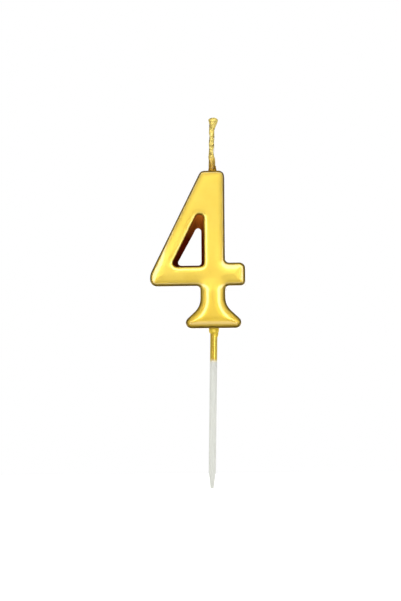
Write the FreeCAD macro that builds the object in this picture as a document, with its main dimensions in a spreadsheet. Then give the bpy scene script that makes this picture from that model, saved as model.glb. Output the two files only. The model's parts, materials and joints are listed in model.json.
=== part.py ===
"""A number candle: a cast wax numeral four with a twisted wick and a plastic pick.

The numeral stands upright in the XZ plane and faces -Y. The origin is where the axis of the pick
meets the underside of the numeral's foot, halfway through the numeral's depth. The numeral is cast
in an open mould, so it is largest at its flat back and every wall leans in towards the rolled front.
The gold finish is one thin skin over the numeral, the bare wick and the top of the pick.
"""
import FreeCAD, Part
import math
import os
import Sketcher

# Lengths in millimetres, angles in degrees. The numeral's own sizes are those of its back outline,
# over the gold, and a reach is a distance from the pick's axis.
SIZES = {
    # Numeral
    "numeral_height": 50.65,
    "numeral_depth": 8.0,
    "wall_draft": 2.3,
    "front_roll": 1.3,
    "back_rim": 0.4,
    "stem_right": 4.05,
    "top_flat_left": 2.55,
    "top_corner_radius": 2.1,
    "diagonal_lean": 26.3,
    "bar_side_height": 2.86,
    "bar_bottom": 13.4,
    "bar_blend_radius": 5.0,
    "bar_corner_radius": 2.4,
    "arm_reach": 10.4,
    "arm_height": 7.85,
    "arm_upper_radius": 2.1,
    "arm_lower_radius": 1.75,
    "inner_corner_radius": 0.95,
    "neck_left": 4.35,
    "foot_half_width": 9.05,
    "foot_slope": 43.0,
    "foot_tip_radius": 2.07,
    "foot_flare_radius": 5.5,
    # Counter, the three-cornered opening, which narrows towards the back. Each end is placed by what
    # it leaves of the numeral: the stem's width from the stem's right side, the bar's height from the
    # bar's underside, and the drop of the centre of the apex's arc below the numeral's top.
    "counter_front_stem_width": 6.91,
    "counter_front_bar_height": 6.38,
    "counter_front_apex_drop": 15.25,
    "counter_front_apex_radius": 1.27,
    "counter_front_corner_radius": 1.2,
    "counter_front_lean": 26.6,
    "counter_back_stem_width": 8.0,
    "counter_back_bar_height": 7.6,
    "counter_back_apex_drop": 18.9,
    "counter_back_apex_radius": 0.95,
    "counter_back_corner_radius": 0.9,
    "counter_back_lean": 28.8,
    # Gold skin
    "coat_thickness": 0.1,
    "coat_on_pick": 9.9,
    # Pick
    "pick_radius": 1.125,
    "pick_neck_radius": 1.1,
    "pick_shoulder": 0.65,
    "pick_lean": 1.2,
    "pick_below_foot": 49.9,
    "pick_embedded": 12.0,
    "pick_point_length": 5.1,
    "pick_point_radius": 0.45,
    "pick_ring_height": 0.3,
    "pick_ring_width": 1.0,
    "pick_ring_pitch": 3.0,
    # Wax drip round the pick, whose spreads are measured from the gold on the pick
    "drip_spread": 0.46,
    "drip_waist_spread": 0.13,
    "drip_waist_height": 1.05,
    "drip_waist_shift": 0.17,
    "drip_length": 2.7,
    # Yarns of the wick
    "yarn_radius": 0.29,
    "yarn_gap": 0.025,
    "yarn_lead": 12.0,
    "bundle_clearance": 0.02,
    "bundle_above_pick": 2.5,
    "bundle_below_tip": 1.1,
    # Wax on the wick: heights are above the numeral, depths are below the tip, and swells are
    # added to the radius of the wick's neck
    "wick_exposed": 17.3,
    "wick_wax_wall": 0.125,
    "wick_root_swell": 0.22,
    "wick_root_height": 4.3,
    "wick_neck_height": 5.6,
    "wick_neck_depth": 4.6,
    "wick_lip_depth": 2.7,
    "wick_lip_swell": 0.17,
    "wick_lip_shift": 0.25,
    "wick_flare_depth": 1.0,
    "wick_flare_swell": 0.62,
    "wick_flare_shift": 0.62,
    "wick_crown_swell": 0.1,
    # Wax meniscus round the wick
    "meniscus_spread": 0.3,
    "meniscus_height": 1.7,
}
YARNS = 3
RING_COUNT = 3
OVERRUN = 0.6  # how far a piece is drawn into the wax before the wax's own shape trims it
FEATHER = 0.02  # how thick a wax collar still is at its thin end

# Expressions that several pieces share.
YARN_OFFSET = f"((#yarn_radius + #yarn_gap) / sin(180 deg / {YARNS}))"
BUNDLE_RADIUS = f"({YARN_OFFSET} + #yarn_radius + #bundle_clearance)"
BUNDLE_END = "(#pick_embedded + #bundle_above_pick)"
BUNDLE_LENGTH = f"#numeral_height + #wick_exposed - #bundle_below_tip - {BUNDLE_END}"
WICK_NECK = f"({BUNDLE_RADIUS} + #wick_wax_wall + #coat_thickness)"
PICK_GOLD = "(#pick_neck_radius + #coat_thickness)"

doc = FreeCAD.newDocument("NumberCandle")


def make_sheet():
    """Put every size in a spreadsheet cell that bears its name."""
    sheet = doc.addObject("Spreadsheet::Sheet", "Sizes")
    for row, (alias, value) in enumerate(SIZES.items(), start=1):
        sheet.set(f"A{row}", alias)
        sheet.set(f"B{row}", str(value))
        sheet.setAlias(f"B{row}", alias)
    doc.recompute()


def bind(item, prop, expression):
    """Tie a property to the sheet: the expression's size names are written with a leading #."""
    item.setExpression(prop, expression.replace("#", "Sizes."))


def sized(alias, skins=0):
    """A size and its expression, grown by a number of skin thicknesses (or shrunk, below zero)."""
    value = SIZES[alias] + skins * SIZES["coat_thickness"]
    return value, f"#{alias} + {skins} * #coat_thickness" if skins else f"#{alias}"


# ---------------------------------------------------------------- sketches


def sketch_on(body, plane, name, along_normal=None):
    """A sketch on one of the body's own origin planes, moved along the plane's normal."""
    sketch = body.newObject("Sketcher::SketchObject", name)
    base = next(item for item in body.Origin.OriginFeatures if item.Role == plane)
    sketch.AttachmentSupport = (base, [""])
    sketch.MapMode = "FlatFace"
    if along_normal is not None:
        bind(sketch, "AttachmentOffset.Base.z", along_normal)
    return sketch


def dimension(sketch, name, kind, references, value, expression):
    """Add one driving dimension and tie it to the sheet."""
    index = sketch.addConstraint(Sketcher.Constraint(kind, *references, value))
    sketch.renameConstraint(index, name)
    bind(sketch, f"Constraints.{name}", expression)


def line(x0, y0, x1, y1):
    """A straight sketch edge."""
    return Part.LineSegment(FreeCAD.Vector(x0, y0, 0), FreeCAD.Vector(x1, y1, 0))


def rounded_outline(sketch, corners, growth):
    """Draw a closed outline, anticlockwise, with an arc at every corner.

    corners is a list of (x, y, radius alias). Line i runs from corner i to corner i + 1 and is
    geometry i, and the arc at corner i is geometry len(corners) + i. growth is the number of skins
    by which the outline stands outside its nominal place, so it also grows the convex arcs.
    """
    count = len(corners)
    arcs, starts, ends = [], [], []
    for i, (x, y, alias) in enumerate(corners):
        before, after = corners[i - 1], corners[(i + 1) % count]
        come = FreeCAD.Vector(x - before[0], y - before[1], 0).normalize()
        leave = FreeCAD.Vector(after[0] - x, after[1] - y, 0).normalize()
        convex = come.cross(leave).z > 0
        radius, expression = sized(alias, growth if convex else -growth)
        tangent = radius * math.tan(come.getAngle(leave) / 2)
        corner = FreeCAD.Vector(x, y, 0)
        start, end = corner - come * tangent, corner + leave * tangent
        middle = start + FreeCAD.Vector(-come.y, come.x, 0) * (radius if convex else -radius)
        first, last = (start, end) if convex else (end, start)
        angles = [math.atan2(p.y - middle.y, p.x - middle.x) for p in (first, last)]
        circle = Part.Circle(middle, FreeCAD.Vector(0, 0, 1), radius)
        arcs.append((Part.ArcOfCircle(circle, *angles), convex, radius, expression))
        starts.append(end)
        ends.append(start)
    for i in range(count):
        far = ends[(i + 1) % count]
        sketch.addGeometry(line(starts[i].x, starts[i].y, far.x, far.y), False)
    for arc, *_ in arcs:
        sketch.addGeometry(arc, False)
    for i, (_, convex, radius, expression) in enumerate(arcs):
        arc = count + i
        entry, leaving = (1, 2) if convex else (2, 1)
        sketch.addConstraint(Sketcher.Constraint("Tangent", (i - 1) % count, 2, arc, entry))
        sketch.addConstraint(Sketcher.Constraint("Tangent", arc, leaving, i, 1))
        dimension(sketch, f"radius_{i}", "Radius", (arc,), radius, expression)


def upright_or_level(sketch, upright, level):
    """Make the numbered lines of an outline vertical or horizontal."""
    for number in upright:
        sketch.addConstraint(Sketcher.Constraint("Vertical", number))
    for number in level:
        sketch.addConstraint(Sketcher.Constraint("Horizontal", number))


def draw_numeral_outline(sketch, skins):
    """The outline of the four, without its counter, a number of skins inside its finished size."""
    stem, stem_by = sized("stem_right", -skins)
    arm, arm_by = sized("arm_reach", -skins)
    top, top_by = sized("numeral_height", -skins)
    neck_x, neck_by = sized("neck_left", -skins)
    bottom, bottom_by = sized("bar_bottom", skins)
    arm_height, arm_height_by = sized("arm_height", -2 * skins)
    half_foot, half_foot_by = sized("foot_half_width", -skins)
    tip, tip_by = sized("foot_tip_radius", -skins)
    base = skins * SIZES["coat_thickness"]
    slope = math.radians(SIZES["foot_slope"])
    lean = math.radians(SIZES["diagonal_lean"])
    # The sloping top of the foot is a straight tangent to the round tip.
    tip_centre = half_foot - tip
    tangent = tip_centre * math.sin(slope) + (tip + base) * math.cos(slope) + tip
    foot_corner = (tangent - base * math.cos(slope)) / math.sin(slope)
    flare_right = (tangent - stem * math.sin(slope)) / math.cos(slope)
    flare_left = (tangent - neck_x * math.sin(slope)) / math.cos(slope)
    crown_radius = sized("top_corner_radius", -skins)[0]
    crown_corner = SIZES["top_flat_left"] + crown_radius * math.tan(math.pi / 4 - lean / 2)
    side_top = SIZES["bar_bottom"] + SIZES["bar_side_height"]
    blend = side_top + sized("bar_blend_radius", -skins)[0] * math.tan(lean / 2)
    bar = crown_corner + (top - blend) * math.tan(lean)
    rounded_outline(sketch, [
        (foot_corner, base, "foot_tip_radius"),
        (stem, flare_right, "foot_flare_radius"),
        (stem, bottom, "inner_corner_radius"),
        (arm, bottom, "arm_lower_radius"),
        (arm, bottom + arm_height, "arm_upper_radius"),
        (stem, bottom + arm_height, "inner_corner_radius"),
        (stem, top, "top_corner_radius"),
        (-crown_corner, top, "top_corner_radius"),
        (-bar, blend, "bar_blend_radius"),
        (-bar, bottom, "bar_corner_radius"),
        (-neck_x, bottom, "inner_corner_radius"),
        (-neck_x, flare_left, "foot_flare_radius"),
        (-foot_corner, base, "foot_tip_radius"),
    ], -skins)
    foot_right, neck_right, under_arm, arm_end, arm_upper, stem_side, crown = range(7)
    diagonal, bar_end, under_bar, neck, foot_left, sole = range(7, 13)
    tip_right, tip_left = 13, 25
    upright_or_level(sketch, (neck_right, arm_end, stem_side, bar_end, neck),
                     (under_arm, arm_upper, crown, under_bar, sole))
    sketch.addConstraint(Sketcher.Constraint("Vertical", neck_right, 2, stem_side, 1))
    sketch.addConstraint(Sketcher.Constraint("Horizontal", under_bar, 2, under_arm, 1))
    if skins:
        dimension(sketch, "sole", "DistanceY", (-1, 1, sole, 1), base, f"{skins} * #coat_thickness")
    else:
        sketch.addConstraint(Sketcher.Constraint("PointOnObject", sole, 1, -1))
    right_slope = (math.pi - slope, "180 - #foot_slope")
    left_slope = (math.pi + slope, "180 + #foot_slope")
    diagonal_slope = (1.5 * math.pi - lean, "270 - #diagonal_lean")
    reach = (tip_centre, f"({half_foot_by}) - ({tip_by})")
    for name, kind, references, (value, expression) in (
        ("foot_slope_right", "Angle", (foot_right,), right_slope),
        ("foot_slope_left", "Angle", (foot_left,), left_slope),
        ("diagonal_slope", "Angle", (diagonal,), diagonal_slope),
        ("stem_right", "DistanceX", (-1, 1, neck_right, 1), (stem, stem_by)),
        ("arm_reach", "DistanceX", (-1, 1, arm_end, 1), (arm, arm_by)),
        ("bar_bottom", "DistanceY", (-1, 1, under_arm, 1), (bottom, bottom_by)),
        ("arm_height", "DistanceY", (under_arm, 1, arm_upper, 1), (arm_height, arm_height_by)),
        ("numeral_height", "DistanceY", (-1, 1, crown, 1), (top, top_by)),
        ("top_flat_left", "DistanceX", (crown, 2, -1, 1), sized("top_flat_left")),
        ("bar_side_height", "DistanceY", (-1, 1, bar_end, 1),
         (side_top, "#bar_bottom + #bar_side_height")),
        ("neck_left", "DistanceX", (neck, 1, -1, 1), (neck_x, neck_by)),
        ("tip_right", "DistanceX", (-1, 1, tip_right, 3), reach),
        ("tip_left", "DistanceX", (tip_left, 3, -1, 1), reach),
    ):
        dimension(sketch, name, kind, references, value, expression)


def draw_counter_outline(sketch, end, skins):
    """The three-cornered outline of the counter at one end, "front" or "back"."""
    stem_width, stem_width_by = sized(f"counter_{end}_stem_width", -skins)
    bar_height, bar_height_by = sized(f"counter_{end}_bar_height", -skins)
    right = stem_width - SIZES["stem_right"]
    floor = SIZES["bar_bottom"] + bar_height
    apex = SIZES["numeral_height"] - SIZES[f"counter_{end}_apex_drop"]
    apex_radius = sized(f"counter_{end}_apex_radius", skins)[0]
    lean = math.radians(SIZES[f"counter_{end}_lean"])
    peak = apex + apex_radius / math.tan(lean / 2)
    left = right + (peak - floor) * math.tan(lean)
    corner = f"counter_{end}_corner_radius"
    rounded_outline(sketch, [
        (-right, floor, corner),
        (-right, peak, f"counter_{end}_apex_radius"),
        (-left, floor, corner),
    ], skins)
    stem_side, slant, sill, apex_arc = 0, 1, 2, 4
    upright_or_level(sketch, (stem_side,), (sill,))
    for name, kind, references, value, expression in (
        ("slant", "Angle", (slant,), 1.5 * math.pi - lean, f"270 - #counter_{end}_lean"),
        ("right", "DistanceX", (stem_side, 1, -1, 1), right, f"{stem_width_by} - #stem_right"),
        ("floor", "DistanceY", (-1, 1, sill, 1), floor, f"#bar_bottom + {bar_height_by}"),
        ("apex", "DistanceY", (-1, 1, apex_arc, 3), apex,
         f"#numeral_height - #counter_{end}_apex_drop"),
    ):
        dimension(sketch, name, kind, references, value, expression)


def disc(body, name, height, radius, shift=None):
    """A circle in a level plane at the given height, moved to the right by shift."""
    sketch = sketch_on(body, "XY_Plane", name, height)
    start = 1.0
    centre = FreeCAD.Vector(0.1 if shift else 0, 0, 0)
    sketch.addGeometry(Part.Circle(centre, FreeCAD.Vector(0, 0, 1), start), False)
    dimension(sketch, "radius", "Radius", (0,), start, radius)
    if shift:
        sketch.addConstraint(Sketcher.Constraint("PointOnObject", 0, 3, -1))
        dimension(sketch, "shift", "DistanceX", (-1, 1, 0, 3), centre.x, shift)
    else:
        sketch.addConstraint(Sketcher.Constraint("Coincident", 0, 3, -1, 1))
    return sketch


# ---------------------------------------------------------------- bodies and booleans


def edges_at(shape, depth):
    """The names of the edges that lie in the plane y = depth."""
    names = []
    for number, edge in enumerate(shape.Edges, start=1):
        box = edge.BoundBox
        if abs(box.YMin - depth) < 1e-4 and abs(box.YMax - depth) < 1e-4:
            names.append(f"Edge{number}")
    return names


def round_edges(body, base, name, edges, radius):
    """A fillet on the named edges of the body's last feature."""
    fillet = body.newObject("PartDesign::Fillet", name)
    fillet.Base = (base, edges)
    bind(fillet, "Radius", radius)
    doc.recompute()
    return fillet


def loft(body, name, sketches, kind="PartDesign::AdditiveLoft"):
    """A straight-sided loft through the sketches, added to the body or cut from it."""
    feature = body.newObject(kind, name)
    feature.Profile = sketches[0]
    feature.Sections = sketches[1:]
    feature.Ruled = True
    doc.recompute()
    return feature


def cut(name, base, tool):
    """What is left of base once tool is taken away."""
    result = doc.addObject("Part::Cut", name)
    result.Base = base
    result.Tool = tool
    doc.recompute()
    return result


def join(name, *pieces):
    """One shape of several that overlap."""
    result = doc.addObject("Part::MultiFuse", name)
    result.Shapes = list(pieces)
    doc.recompute()
    return result


def numeral_form(name, skins):
    """The numeral, a number of skins inside its finished size: a drafted pad, holed and rounded."""
    body = doc.addObject("PartDesign::Body", name)
    shrink = f"{skins} * #coat_thickness"
    front_plane = f"#numeral_depth / 2 - {shrink}"
    back_plane = f"-#numeral_depth / 2 + {shrink}"
    outline = sketch_on(body, "XZ_Plane", name + "Outline", back_plane)
    draw_numeral_outline(outline, skins)
    pad = body.newObject("PartDesign::Pad", name + "Pad")
    pad.Profile = outline
    bind(pad, "Length", f"#numeral_depth - 2 * {shrink}")
    bind(pad, "TaperAngle", "-#wall_draft")
    front = sketch_on(body, "XZ_Plane", name + "CounterFront", front_plane)
    draw_counter_outline(front, "front", skins)
    back = sketch_on(body, "XZ_Plane", name + "CounterBack", back_plane)
    draw_counter_outline(back, "back", skins)
    doc.recompute()
    opening = loft(body, name + "Counter", [front, back], "PartDesign::SubtractiveLoft")
    half = SIZES["numeral_depth"] / 2 - skins * SIZES["coat_thickness"]
    front_edges = edges_at(opening.Shape, -half)
    rolled = round_edges(body, opening, name + "FrontRoll", front_edges, f"#front_roll - {shrink}")
    back_edges = edges_at(rolled.Shape, half)
    round_edges(body, rolled, name + "BackRim", back_edges, f"#back_rim - {shrink}")
    return body


def pick_body(name):
    """The pick, turned about its own leaning axis.

    It has a blunt point, a bare shank, a short sloping shoulder, a slightly thinner neck and retaining
    rings on the neck's embedded end. Below, a crest is the widest point of a ring.
    """
    body = doc.addObject("PartDesign::Body", name)
    sketch = sketch_on(body, "XZ_Plane", "PickProfile")
    bind(sketch, "AttachmentOffset.Rotation.Angle", "-#pick_lean")
    radius, neck, point = SIZES["pick_radius"], SIZES["pick_neck_radius"], SIZES["pick_point_radius"]
    low, step, high = -SIZES["pick_below_foot"], -SIZES["coat_on_pick"], SIZES["pick_embedded"]
    cone_top = low + SIZES["pick_point_length"]
    ring = neck + SIZES["pick_ring_height"]
    pitch, half_ring = SIZES["pick_ring_pitch"], SIZES["pick_ring_width"] / 2
    shank_top = step - SIZES["pick_shoulder"]
    corners = [(0, low), (point, low), (radius, cone_top), (radius, shank_top), (neck, step)]
    for number in range(RING_COUNT):
        crest = (number + 1) * pitch
        corners += [(neck, crest - half_ring), (ring, crest), (neck, crest + half_ring)]
    corners += [(neck, high), (0, high)]
    count = len(corners)
    for i, (x, y) in enumerate(corners):
        sketch.addGeometry(line(x, y, *corners[(i + 1) % count]), False)
    for i in range(count):
        sketch.addConstraint(Sketcher.Constraint("Coincident", i, 2, (i + 1) % count, 1))
    tip, cone, shank, shoulder, first_neck = range(5)
    necks = [first_neck + 3 * number for number in range(RING_COUNT + 1)]
    top, axis_line = count - 2, count - 1
    upright_or_level(sketch, (shank, *necks), (tip, top))
    sketch.addConstraint(Sketcher.Constraint("PointOnObject", axis_line, 1, -2))
    sketch.addConstraint(Sketcher.Constraint("PointOnObject", axis_line, 2, -2))
    for alias, kind, references, value in (
        ("pick_point_radius", "DistanceX", (-1, 1, cone, 1), point),
        ("pick_radius", "DistanceX", (-1, 1, shank, 1), radius),
        ("pick_below_foot", "DistanceY", (cone, 1, -1, 1), -low),
        ("pick_point_length", "DistanceY", (cone, 1, shank, 1), cone_top - low),
        ("pick_shoulder", "DistanceY", (shank, 2, shoulder, 2), step - shank_top),
        ("coat_on_pick", "DistanceY", (shoulder, 2, -1, 1), -step),
        ("pick_embedded", "DistanceY", (-1, 1, top, 1), high),
    ):
        dimension(sketch, alias, kind, references, value, f"#{alias}")
    for number, stretch in enumerate(necks):
        references = (-1, 1, stretch, 1)
        dimension(sketch, f"neck_{number}", "DistanceX", references, neck, "#pick_neck_radius")
    ring_by = "#pick_neck_radius + #pick_ring_height"
    for number, stretch in enumerate(necks[:-1]):
        flank = stretch + 1
        for name, kind, references, value, expression in (
            (f"ring_{number}", "DistanceX", (-1, 1, flank, 2), ring, ring_by),
            (f"crest_{number}", "DistanceY", (-1, 1, flank, 2), (number + 1) * pitch,
             f"{number + 1} * #pick_ring_pitch"),
            (f"lower_{number}", "DistanceY", (flank, 1, flank, 2), half_ring, "#pick_ring_width / 2"),
            (f"upper_{number}", "DistanceY", (flank, 2, flank + 1, 2), half_ring,
             "#pick_ring_width / 2"),
        ):
            dimension(sketch, name, kind, references, value, expression)
    turn = body.newObject("PartDesign::Revolution", "PickTurn")
    turn.Profile = sketch
    turn.ReferenceAxis = (sketch, ["V_Axis"])
    turn.Angle = 360.0
    doc.recompute()
    return body


def lean_with_pick(item, turn):
    """Turn an item by a number of degrees and by the pick's lean, in the numeral's own plane."""
    item.Placement = FreeCAD.Placement(
        FreeCAD.Vector(), FreeCAD.Rotation(FreeCAD.Vector(0, 1, 0), turn + SIZES["pick_lean"]))
    bind(item, "Placement.Rotation.Angle", f"{turn} + #pick_lean")


def pick_sleeve():
    """The outside of the gold on the pick's shank, leaning with it."""
    sleeve = doc.addObject("Part::Cylinder", "PickSleeve")
    bind(sleeve, "Radius", PICK_GOLD)
    bind(sleeve, "Height", f"#coat_on_pick + {OVERRUN}")
    lean_with_pick(sleeve, 180)
    bind(sleeve, "Placement.Base.z", f"{OVERRUN}")
    doc.recompute()
    return sleeve


def drip_form(name, skin):
    """The wax drip below the foot, which leans with the pick and bulges down its right side."""
    body = doc.addObject("PartDesign::Body", name)
    lean_with_pick(body, 0)
    inner = f" - {skin}" if skin else ""
    levels = (
        ("Root", f"{OVERRUN}", f"{PICK_GOLD} + #drip_spread", None),
        ("Rim", "0", f"{PICK_GOLD} + #drip_spread", None),
        ("Waist", "-#drip_waist_height", f"{PICK_GOLD} + #drip_waist_spread", "#drip_waist_shift"),
        ("Tail", "-#drip_length", f"{PICK_GOLD} + {FEATHER}", None),
    )
    sketches = [disc(body, name + level, height, radius + inner, shift)
                for level, height, radius, shift in levels]
    loft(body, name + "Loft", sketches)
    return body


def wick_form(name, skin):
    """The waxed wick above the numeral, which swells at its root and flares at its cut end."""
    body = doc.addObject("PartDesign::Body", name)
    inner = f" - {skin}" if skin else ""
    root = "#numeral_height"
    tip = f"{root} + #wick_exposed"
    levels = (
        ("Root", f"{root} - {OVERRUN}", "#wick_root_swell", None),
        ("Swell", f"{root} + #wick_root_height", "#wick_root_swell", None),
        ("NeckStart", f"{root} + #wick_neck_height", "0", None),
        ("NeckEnd", f"{tip} - #wick_neck_depth", "0", None),
        ("Lip", f"{tip} - #wick_lip_depth", "#wick_lip_swell", "#wick_lip_shift"),
        ("Flare", f"{tip} - #wick_flare_depth", "#wick_flare_swell", "#wick_flare_shift"),
        ("Crown", f"{tip}{inner}", "#wick_crown_swell", "#wick_flare_shift"),
    )
    sketches = [disc(body, name + level, height, f"{WICK_NECK} + {swell}{inner}", shift)
                for level, height, swell, shift in levels]
    loft(body, name + "Loft", sketches)
    return body


def meniscus_form(name, skin):
    """The wax that climbs the root of the wick."""
    cone = doc.addObject("Part::Cone", name)
    inner = f" - {skin}" if skin else ""
    root = f"{WICK_NECK} + #wick_root_swell"
    slope = "#meniscus_spread / #meniscus_height"
    bind(cone, "Radius1", f"{root} + #meniscus_spread + {OVERRUN} * {slope}{inner}")
    bind(cone, "Radius2", f"{root} + {FEATHER}{inner}")
    bind(cone, "Height", f"#meniscus_height + {OVERRUN}")
    bind(cone, "Placement.Base.z", f"#numeral_height - {OVERRUN}")
    doc.recompute()
    return cone


def yarn(number, turn):
    """One yarn of the wick, wound about the wick's axis."""
    path = doc.addObject("Part::Helix", f"YarnPath{number}")
    bind(path, "Pitch", "#yarn_lead")
    bind(path, "Height", BUNDLE_LENGTH)
    bind(path, "Radius", YARN_OFFSET)
    bind(path, "Placement.Base.z", BUNDLE_END)
    section = doc.addObject("Part::Circle", f"YarnSection{number}")
    bind(section, "Radius", "#yarn_radius")
    bind(section, "Placement.Base.x", YARN_OFFSET)
    bind(section, "Placement.Base.z", BUNDLE_END)
    doc.recompute()
    strand = doc.addObject("Part::Sweep", f"Yarn{number}")
    strand.Sections = [section]
    strand.Spine = (path, ["Edge1"])
    strand.Solid = True
    strand.Frenet = True
    strand.Placement = FreeCAD.Placement(
        FreeCAD.Vector(), FreeCAD.Rotation(FreeCAD.Vector(0, 0, 1), turn))
    doc.recompute()
    return strand


def bundle_bore():
    """The straight channel that the three yarns fill, in the numeral and in the wick's wax."""
    bore = doc.addObject("Part::Cylinder", "BundleBore")
    bind(bore, "Radius", BUNDLE_RADIUS)
    bind(bore, "Height", BUNDLE_LENGTH)
    bind(bore, "Placement.Base.z", BUNDLE_END)
    doc.recompute()
    return bore


# ---------------------------------------------------------------- the candle


def build():
    """Build every piece and return them by name."""
    make_sheet()
    form = numeral_form("Numeral", 0)
    wax = numeral_form("Wax", 1)
    pick = pick_body("Pick")
    bore = bundle_bore()
    skin = "#coat_thickness"

    wick_skin = join("WickOutside", wick_form("WickOutline", None), meniscus_form("MeniscusOutline", None))
    sheath = wick_form("SheathOutline", skin)
    meniscus = meniscus_form("MeniscusWax", skin)
    wick_wax = join("WickWax", sheath, meniscus)
    pick_skin = join("PickOutside", pick_sleeve(), drip_form("DripOutline", None))
    drip = drip_form("DripWax", skin)
    pick_wax = join("PickWax", pick, drip)

    pieces = {
        "numeral_wax_core": cut("Core", cut("CorePicked", wax, pick), bore),
        "numeral_gold_coat": cut("Coat", cut("CoatTop", cut("CoatShell", form, wax), wick_skin), pick_skin),
        "wick_wax_sheath": cut("Sheath", cut("SheathSeated", sheath, wax), bore),
        "wick_root_bead": cut("Bead", cut("BeadSeated", meniscus, wax), sheath),
        "wick_gold_coat": cut("WickCoat", cut("WickCoatSeated", wick_skin, wax), wick_wax),
        "pick": pick,
        "pick_root_bead": cut("Drip", cut("DripSeated", drip, wax), pick),
        "pick_gold_coat": cut("PickCoat", cut("PickCoatSeated", pick_skin, wax), pick_wax),
    }
    for number in range(YARNS):
        pieces[f"wick_yarn_{number + 1}"] = yarn(number + 1, 360 / YARNS * number)
    return pieces


def check(pieces):
    """Stop if any object failed, or if a piece isn't sound."""
    doc.recompute()
    for item in doc.Objects:
        if "Invalid" in item.State or "Error" in item.State:
            raise RuntimeError(f"{item.Name} failed: {item.State}")
    for name, item in pieces.items():
        shape = item.Shape
        if shape.isNull() or not shape.isValid() or len(shape.Solids) != 1:
            raise RuntimeError(f"{name}: {len(shape.Solids)} solids, valid {shape.isValid()}")


def write(pieces):
    """Name the pieces and write one file for each."""
    os.makedirs("parts", exist_ok=True)
    for name, item in pieces.items():
        item.Label = name
        item.Shape.exportStep(f"parts/{name}.step")
        print(f"{name}: {item.Shape.Volume:.3f} mm3")


candle = build()
check(candle)
write(candle)
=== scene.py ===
"""A gold number candle: a cast wax four with a gilded wick, on a milky plastic pick.

Everything is in metres, in the candle's own frame: the origin is where the pick meets the underside
of the foot, X runs to the right, Z up, and the numeral faces -Y.
"""

import json
import logging
import math
from collections.abc import Callable, Iterator, Sequence
from contextlib import contextmanager
from dataclasses import dataclass
from enum import Enum

import bpy
from mathutils import Matrix, Quaternion, Vector
from mathutils.kdtree import KDTree


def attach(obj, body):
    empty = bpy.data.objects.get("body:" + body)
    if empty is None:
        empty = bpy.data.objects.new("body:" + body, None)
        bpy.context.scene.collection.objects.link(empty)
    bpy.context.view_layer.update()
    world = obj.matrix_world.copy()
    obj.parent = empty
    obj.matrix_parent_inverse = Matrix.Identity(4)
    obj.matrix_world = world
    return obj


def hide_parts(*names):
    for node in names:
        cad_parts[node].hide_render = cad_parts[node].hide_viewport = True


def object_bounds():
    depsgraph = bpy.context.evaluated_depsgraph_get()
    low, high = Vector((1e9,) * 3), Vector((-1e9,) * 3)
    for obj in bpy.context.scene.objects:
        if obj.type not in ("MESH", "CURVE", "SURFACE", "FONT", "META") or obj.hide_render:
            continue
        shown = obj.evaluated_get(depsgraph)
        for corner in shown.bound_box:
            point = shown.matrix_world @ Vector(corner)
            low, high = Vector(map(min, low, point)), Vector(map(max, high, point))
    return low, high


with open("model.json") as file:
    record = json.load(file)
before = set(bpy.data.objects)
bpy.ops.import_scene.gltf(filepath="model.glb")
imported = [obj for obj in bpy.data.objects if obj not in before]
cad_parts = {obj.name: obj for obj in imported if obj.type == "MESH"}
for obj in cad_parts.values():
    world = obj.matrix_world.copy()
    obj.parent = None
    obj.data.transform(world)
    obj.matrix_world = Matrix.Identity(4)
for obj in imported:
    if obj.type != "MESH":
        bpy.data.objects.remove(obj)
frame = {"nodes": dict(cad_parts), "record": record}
CAD_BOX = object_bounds()

LOG = logging.getLogger("candle")
MM = 0.001
WELD = 1e-6  # m, vertices closer than this are one
FACE_ON = 0.5  # a normal with more than this along Y is on the front or the back, not on a wall


class Slot(Enum):
    """The material slots that the pieces take their finish from."""

    WAX = "wax"
    GOLD = "gold_lacquer"
    COTTON = "wick_cotton"
    PLASTIC = "pick_plastic"


# ---------------------------------------------------------------- colours and nodes


def linear(hex_colour: str) -> tuple[float, float, float, float]:
    """Turn an sRGB hex colour into the linear colour that a shader works in.

    Args:
        hex_colour: Six hex digits, such as "F2C94A".

    Returns:
        Red, green, blue and an alpha of one.
    """
    channels = [int(hex_colour[i:i + 2], 16) / 255 for i in (0, 2, 4)]
    red, green, blue = (c / 12.92 if c <= 0.04045 else ((c + 0.055) / 1.055) ** 2.4 for c in channels)
    return red, green, blue, 1.0


def add_node(
    tree: bpy.types.NodeTree,
    kind: str,
    settings: dict[str, object] | None = None,
    inputs: dict[str | int, object] | None = None,
) -> bpy.types.Node:
    """Add one node to a tree.

    Args:
        tree: The node tree.
        kind: The node's type name, without its "ShaderNode" prefix.
        settings: Properties of the node.
        inputs: What goes into its sockets: a value, or the output socket of another node.

    Returns:
        The new node.
    """
    node = tree.nodes.new("ShaderNode" + kind)
    for name, value in (settings or {}).items():
        setattr(node, name, value)
    for key, value in (inputs or {}).items():
        if isinstance(value, bpy.types.NodeSocket):
            tree.links.new(value, node.inputs[key])
        else:
            node.inputs[key].default_value = value
    return node


def new_material(name: str) -> bpy.types.Material:
    """An empty node material."""
    material = bpy.data.materials.new(name)
    material.use_nodes = True
    material.node_tree.nodes.clear()
    return material


# ---------------------------------------------------------------- modelling helpers


def pick_only(*objects: bpy.types.Object) -> None:
    """Leave just these objects selected, the first of them active.

    Args:
        objects: The objects.
    """
    bpy.ops.object.select_all(action="DESELECT")
    for item in objects:
        item.select_set(True)
    bpy.context.view_layer.objects.active = objects[0]


@contextmanager
def editing(item: bpy.types.Object, elements: str = "VERT") -> Iterator[None]:
    """Edit mode on one object, for as long as the block runs.

    Args:
        item: A mesh object in object mode.
        elements: What is selected in it, "VERT" or "EDGE".
    """
    pick_only(item)
    bpy.context.tool_settings.mesh_select_mode = (elements == "VERT", elements == "EDGE", False)
    bpy.ops.object.mode_set(mode="EDIT")
    try:
        yield
    finally:
        bpy.ops.object.mode_set(mode="OBJECT")


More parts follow.
